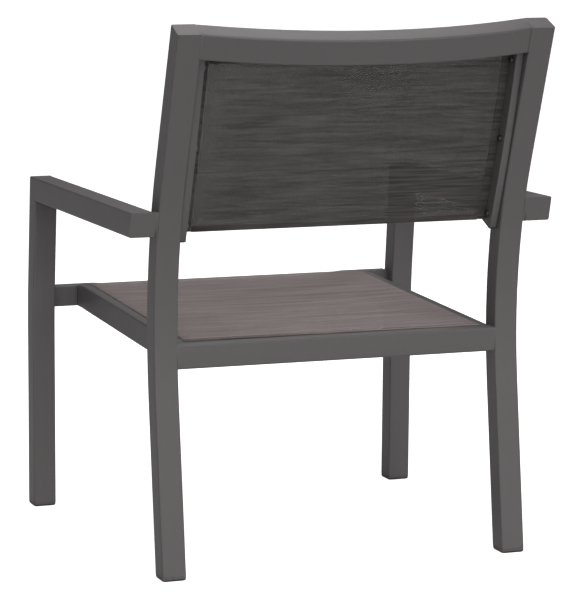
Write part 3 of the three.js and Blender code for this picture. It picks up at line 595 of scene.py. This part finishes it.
def back_sling(material, thread):
    """The back sling with its pockets, its turned hems at top and bottom, and their stitches."""
    low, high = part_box("left_back_rod")
    rod_x = (low.x + high.x) / 2
    stations = resampled(rod_line("left_back_rod"), BACK_ROWS)
    outline = back_outline(rod_x)
    across = distances(outline)
    sling = cloth_from("back_sling_cloth", back_rows(outline, stations), across)
    apply_modifier(sling, "SOLIDIFY", thickness=CLOTH, offset=0, use_even_offset=True)
    dress(sling, material, "sling_cloth", "back_sling")
    width = rod_x - GROOVE_DEPTH - SEAM - CLOTH
    trim = []
    for end, name in ((0, "bottom"), (-1, "top")):
        place, direction, distance = stations[end]
        inward = direction if end == 0 else -direction
        forward = Vector((-direction.y, direction.x))
        fold = [(0.0, 0.0), (-0.6 * CLOTH, -0.2 * CLOTH), (-0.7 * CLOTH, -0.6 * CLOTH)]
        fold += [(0.0, -1.02 * CLOTH), (HEM / 3, -1.05 * CLOTH)]
        fold += [(2 * HEM / 3, -1.05 * CLOTH), (HEM, -0.95 * CLOTH)]
        rows = []
        for up, behind in fold:
            spot = place + inward * up + forward * behind
            rows.append(([(x, spot.x, spot.y) for x in (-width, width)], distance - up))
        hem = cloth_from(f"back_sling_hem_{name}", rows, [-width, width])
        apply_modifier(hem, "SOLIDIFY", thickness=CLOTH, offset=0, use_even_offset=True)
        dress(hem, material, "sling_cloth")
        trim.append(hem)
        for side, offset in (("rear", -1.6 * CLOTH), ("front", 0.55 * CLOTH)):
            seam = place + inward * (HEM - STITCH_INSET) + forward * offset
            stitches = stitch_row(f"back_hem_stitches_{name}_{side}", width, seam, thread)
            trim.append(stitches)
    return sling, trim, distances(outline)[-1] * 2, stations[-1][2] + 2 * HEM


def seat_sling(material, thread):
    """The seat sling with its pockets in the grooves, its hems in front and behind, and their stitches."""
    low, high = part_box("left_seat_rod")
    rod_x = (low.x + high.x) / 2
    rail_low, rail_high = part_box("left_seat_rail")
    rail_half = (rail_high.x - rail_low.x) / 2
    places = sorted(rod_line("left_seat_rod"), key=lambda place: -place[0])
    stations = resampled(places, SEAT_ROWS)
    rows = []
    for i, (place, direction, distance) in enumerate(stations):
        up = Vector((direction.y, -direction.x)) if direction.x < 0 else Vector((-direction.y, direction.x))
        sag = SEAT_SAG * math.sin(math.pi * i / SEAT_ROWS) ** 0.7
        outline = seat_outline(rod_x, rail_half, sag)
        points = []
        for x, height in outline:
            spot = place + up * height
            points.append((x, spot.x, spot.y))
        rows.append((points, distance))
    across = distances(seat_outline(rod_x, rail_half, 0.0))
    sling = cloth_from("seat_sling_cloth", rows, across)
    apply_modifier(sling, "SOLIDIFY", thickness=CLOTH, offset=0, use_even_offset=True)
    dress(sling, material, "sling_cloth", "seat_sling")
    width = rod_x - rail_half - 2 * MM
    trim = []
    for end, name in ((0, "rear"), (-1, "front")):
        place, direction, distance = stations[end]
        up = Vector((direction.y, -direction.x)) if direction.x < 0 else Vector((-direction.y, direction.x))
        inward = direction if end == 0 else -direction
        top = GROOVE_DEPTH + LIP + 1.5 * CLOTH
        edge = -REAR_LAP if name == "rear" else 0.0
        fold = [(0.0, 0.0), (edge / 2, 0.0), (edge, 0.0)] if edge else [(0.0, 0.0)]
        fold += [(edge - 0.6 * CLOTH, -0.2 * CLOTH), (edge - 0.7 * CLOTH, -0.6 * CLOTH)]
        fold += [(edge + HEM * share, -CLOTH) for share in (0.0, 0.33, 0.67, 1.0)]
        half = rod_x + CLOTH
        rows = []
        for along, below in fold:
            settled = 0.9 * LIP * min(1.0, max(0.0, -along / (2 * MM)))
            spot = place + inward * along + up * (top + below - settled)
            rows.append(([(x, spot.x, spot.y) for x in (-half, half)], distance - along))
        hem = cloth_from(f"seat_sling_hem_{name}", rows, [-half, half])
        apply_modifier(hem, "SOLIDIFY", thickness=CLOTH, offset=0, use_even_offset=True)
        dress(hem, material, "sling_cloth")
        trim.append(hem)
        seam = place + inward * (edge + HEM - STITCH_INSET) + up * (top + 0.55 * CLOTH)
        trim.append(stitch_row(f"seat_hem_stitches_{name}", rod_x - 4 * MM, seam, thread))
    return sling, trim, across[-1] * 2, stations[-1][2] + REAR_LAP + 2 * HEM


def stitch_row(name, half_width, place, material):
    """A row of lockstitches across a hem: one stitch is modelled and repeated along the row."""
    deselect_all()
    start = (-half_width + STITCH_LENGTH, place.x, place.y)
    bpy.ops.mesh.primitive_uv_sphere_add(segments=6, ring_count=6, radius=THREAD / 2, location=start)
    stitch = bpy.context.object
    stitch.name = name
    bpy.ops.object.mode_set(mode="EDIT")
    bpy.ops.mesh.select_all(action="SELECT")
    bpy.ops.transform.resize(value=(STITCH_LENGTH / THREAD, 1, 1))
    bpy.ops.object.mode_set(mode="OBJECT")
    settle(stitch)
    bpy.ops.object.shade_smooth()
    count = int((2 * half_width - 2 * STITCH_LENGTH) / STITCH_PITCH) + 1
    settings = {"count": count, "use_relative_offset": False, "use_constant_offset": True}
    apply_modifier(stitch, "ARRAY", constant_offset_displace=(STITCH_PITCH, 0, 0), **settings)
    dress(stitch, material, "sling_cloth")
    return stitch


def pan_head_screw(node, sign, material):
    """A pan-head screw with a hexagon socket, its shank run through the rail into the post."""
    low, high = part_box(node)
    centre = (low + high) / 2
    head_radius = (high.z - low.z) / 2
    head_height = 3.6 * MM
    inner = low.x if sign > 0 else high.x
    place = (inner + sign * head_height / 2, centre.y, centre.z)
    deselect_all()
    turn = (0, math.radians(90 * sign), 0)
    bpy.ops.mesh.primitive_cylinder_add(
        vertices=48, radius=head_radius, depth=head_height, location=place, rotation=turn
    )
    screw = bpy.context.object
    screw.name = f"{node}_finished"
    settle(screw)
    bpy.ops.object.mode_set(mode="EDIT")
    mesh = bmesh.from_edit_mesh(screw.data)
    for face in mesh.faces:
        face.select = face.normal.x * sign < -0.9
    bmesh.update_edit_mesh(screw.data)
    bpy.ops.mesh.select_mode(type="FACE")
    for inset, push in ((0.3 * MM, 0.9 * MM), (0.6 * MM, 0.55 * MM), (1.1 * MM, 0.3 * MM)):
        bpy.ops.mesh.inset(thickness=inset, depth=0)
        bpy.ops.transform.translate(value=(-sign * push * 0.35, 0, 0))
    bpy.ops.mesh.inset(thickness=head_radius * 0.22, depth=0)
    bpy.ops.mesh.inset(thickness=0.15 * MM, depth=-1.9 * MM)
    bpy.ops.mesh.select_all(action="DESELECT")
    mesh = bmesh.from_edit_mesh(screw.data)
    for face in mesh.faces:
        face.select = face.normal.x * sign > 0.9
    bmesh.update_edit_mesh(screw.data)
    bpy.ops.mesh.inset(thickness=head_radius - 2.5 * MM, depth=0)
    reach = (high.x - low.x) - head_height
    bpy.ops.mesh.extrude_region_move(TRANSFORM_OT_translate={"value": (sign * reach, 0, 0)})
    bpy.ops.object.mode_set(mode="OBJECT")
    bpy.ops.object.shade_smooth_by_angle(angle=EDGE_SHARP)
    dress(screw, material, "screw_steel", node)
    return screw


def weld_bead(name, start, end, material, radius=BEAD):
    """A fillet weld: one ripple is modelled and repeated along the seam, each over the last."""
    start, end = Vector(start), Vector(end)
    run = end - start
    deselect_all()
    bpy.ops.mesh.primitive_uv_sphere_add(segments=10, ring_count=8, radius=radius, location=start)
    bead = bpy.context.object
    bead.name = name
    settle(bead)
    bpy.ops.object.shade_smooth()
    count = max(2, int(run.length / BEAD_PITCH))
    settings = {"count": count, "use_relative_offset": False, "use_constant_offset": True}
    apply_modifier(bead, "ARRAY", constant_offset_displace=run / (count - 1), **settings)
    dress(bead, material, "frame_coating")
    return bead


# The chair

coating = powder_coated_aluminium()
# One cloth in two copies: the seat's yarn tones are lighter, as painted light where its top faces the lamps,
# and the back's are darker, as painted shade on its rear face
shaded_back_weft, shaded_back_warp = ("#252221", "#534e4c"), ("#292625", "#494544")
lit_seat_weft, lit_seat_warp = ("#373231", "#7e7472"), ("#3c3736", "#6e6664")
shaded_back_mesh = woven_sling_mesh("woven_sling_mesh_shaded_back", shaded_back_weft, shaded_back_warp, 0.3, 0.35)
lit_seat_mesh = woven_sling_mesh("woven_sling_mesh_lit_seat", lit_seat_weft, lit_seat_warp, 0.55, 0.45)
thread = bonded_polyester_thread()
black_plastic = moulded_polypropylene("moulded_black_polypropylene", "#242322", "#393734")
grey_plastic = moulded_polypropylene("moulded_grey_polypropylene", "#4a4746", "#575353", CONTACT_SHADOW_HEIGHT)
nylon = extruded_nylon()
steel = tumbled_stainless_steel()

FRAME_TUBES = ("rear_post", "post_cap", "front_leg", "arm", "arm_end_cap", "arm_packer")
RAILS = ("seat_rail", "back_rail")
for side, sign in SIDES:
    for piece_name in FRAME_TUBES:
        tube = finished_tube(f"{side}_{piece_name}", coating, "frame_coating")
        if piece_name == "arm_packer":
            cap_low, cap_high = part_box(f"{side}_arm_end_cap")
            behind = cap_high - Vector((0, 0.3 * MM, 0))
            trimmed(tube, (cap_low, (0, 0, -1)), (cap_high, (0, 0, 1)), (behind, (0, 1, 0)))
    for piece_name in RAILS:
        rail = finished_tube(f"{side}_{piece_name}", coating, "rail_coating")
        if piece_name == "seat_rail":
            rod_low, rod_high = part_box(f"{side}_seat_rod")
            slot_wall = (rod_low.x + rod_high.x) / 2 + sign * SLOT_HALF
            widened_slot(rail, slot_wall, sign * SLOT_GAP)
            eased_end(rail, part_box(f"{side}_seat_rail")[0].y)
    finished_tube(f"{side}_back_rail_plug", black_plastic, "black_plastic")
    for piece_name in ("rear_glide", "front_glide"):
        finished_tube(f"{side}_{piece_name}", grey_plastic, "grey_plastic")
    for piece_name in ("seat_rod", "back_rod"):
        finished_tube(f"{side}_{piece_name}", nylon, "rod_nylon")
    for height in ("bottom", "middle", "top"):
        pan_head_screw(f"{side}_back_rail_screw_{height}", sign, steel)
for piece_name in ("top_rail", "seat_rear_rail"):
    finished_tube(piece_name, coating, "frame_coating")
rail_low, rail_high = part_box("seat_front_rail")
rail_middle = (rail_low.y + rail_high.y) / 2
slimmed(finished_tube("seat_front_rail", coating, "frame_coating"), rail_middle, FRONT_SLIM)

# Butt joints, ground flush: each weld carries a tube's end on into its neighbour
lean = end_plane("left_post_cap", Vector((0, 0, 1)))[1]
for side, sign in SIDES:
    dressed_weld(f"{side}_rear_post", (0, 0, 1), lean, 0.4 * MM, coating)
    dressed_weld(f"{side}_front_leg", (0, 0, 1), (0, 0.07, 1), 0.6 * MM, coating)
    dressed_weld(f"{side}_arm", (0, 1, 0), (0, 1, 0), 0.4 * MM, coating)
    dressed_weld(f"{side}_arm_end_cap", (-sign, 0, 0), (-sign, 0, 0), ARM_REACH, coating)
    for rail in ("top_rail", "seat_rear_rail"):
        dressed_weld(rail, (sign, 0, 0), (sign, 0, 0), FLUSH_REACH, coating)
    end_plate("seat_front_rail", sign, FRONT_SLIM, coating)

# Fillet welds in the upright corners of the front rail, at the seat rails and at the front legs
weld_low, weld_high = rail_high.z - TUBE + 2 * TUBE_CORNER, rail_high.z - TUBE_CORNER
for side, sign in SIDES:
    seat_low, seat_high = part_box(f"{side}_seat_rail")
    outer, inner = (seat_high.x, seat_low.x) if sign > 0 else (seat_low.x, seat_high.x)
    corners = (
        ("seat_rail_outer", outer + sign * BEAD / 2, rail_high.y + BEAD / 2),
        ("seat_rail_inner", inner - sign * BEAD / 2, rail_high.y + BEAD / 2),
        ("front_leg_rear", sign * (rail_high.x - BEAD / 3), rail_high.y + BEAD / 4),
    )
    for name, x, y in corners:
        weld_bead(f"{side}_{name}_fillet", (x, y, weld_low), (x, y, weld_high), coating)

back_cloth, back_trim, back_width, back_length = back_sling(shaded_back_mesh, thread)
seat_cloth, seat_trim, seat_width, seat_length = seat_sling(lit_seat_mesh, thread)


# Studio


def white_studio():
    """A white floor and world, a soft lamp over the chair, one on the camera's side and three in front."""
    deselect_all()
    bpy.ops.mesh.primitive_plane_add(size=60, location=(0, 0, 0))
    floor = bpy.context.object
    floor.name = "studio_floor"
    floor.data.materials.append(white_floor())

    world = bpy.data.worlds.new("white_world")
    bpy.context.scene.world = world
    world.use_nodes = True
    tree = world.node_tree
    tree.nodes.clear()
    # The wall behind the camera is brightest straight out from the chair and fades towards its sides
    view = add_node(tree, "ShaderNodeTexCoord").outputs["Generated"]
    facing = add_node(tree, "ShaderNodeSeparateXYZ", inputs={0: view}).outputs[1]
    behind = sum_of(tree, "MAXIMUM", facing, 0.0)
    wall = sum_of(tree, "MULTIPLY", sum_of(tree, "MULTIPLY", behind, behind), REAR_WALL)
    glow = sum_of(tree, "ADD", wall, ROOM)
    path = add_node(tree, "ShaderNodeLightPath")
    spread = {"Value": path.outputs["Is Camera Ray"], "To Min": glow, "To Max": 1.0}
    strength = add_node(tree, "ShaderNodeMapRange", inputs=spread).outputs[0]
    white = add_node(tree, "ShaderNodeBackground", inputs={"Color": (1, 1, 1, 1), "Strength": strength})
    output = add_node(tree, "ShaderNodeOutputWorld")
    tree.links.new(white.outputs[0], output.inputs["Surface"])

    for name, place, size, power in LAMPS:
        lamp = bpy.data.lights.new(name, "AREA")
        lamp.shape = "SQUARE"
        lamp.size = size
        lamp.energy = power
        holder = bpy.data.objects.new(name, lamp)
        bpy.context.scene.collection.objects.link(holder)
        holder.location = place
        aim = Vector((0, 0, 0.4)) - Vector(place)
        holder.rotation_euler = aim.to_track_quat("-Z", "Y").to_euler()


def photograph_camera():
    """The camera at the photograph's viewing angle."""
    camera = bpy.data.objects.new("camera", bpy.data.cameras.new("camera"))
    bpy.context.scene.collection.objects.link(camera)
    camera.data.sensor_width = SENSOR
    camera.data.lens = FOCAL_PIXELS / FRAME_HEIGHT_PIXELS * SENSOR
    camera.data.clip_end = 100
    level = math.cos(ELEVATION)
    back = Vector((math.sin(AZIMUTH) * level, -math.cos(AZIMUTH) * level, math.sin(ELEVATION)))
    turn = (-back).to_track_quat("-Z", "Y").to_matrix() @ Matrix.Rotation(ROLL, 3, "Z")
    camera.matrix_world = Matrix.Translation(EYE) @ turn.to_4x4()
    bpy.context.scene.camera = camera


white_studio()
photograph_camera()
bpy.context.scene.view_settings.view_transform = "Standard"
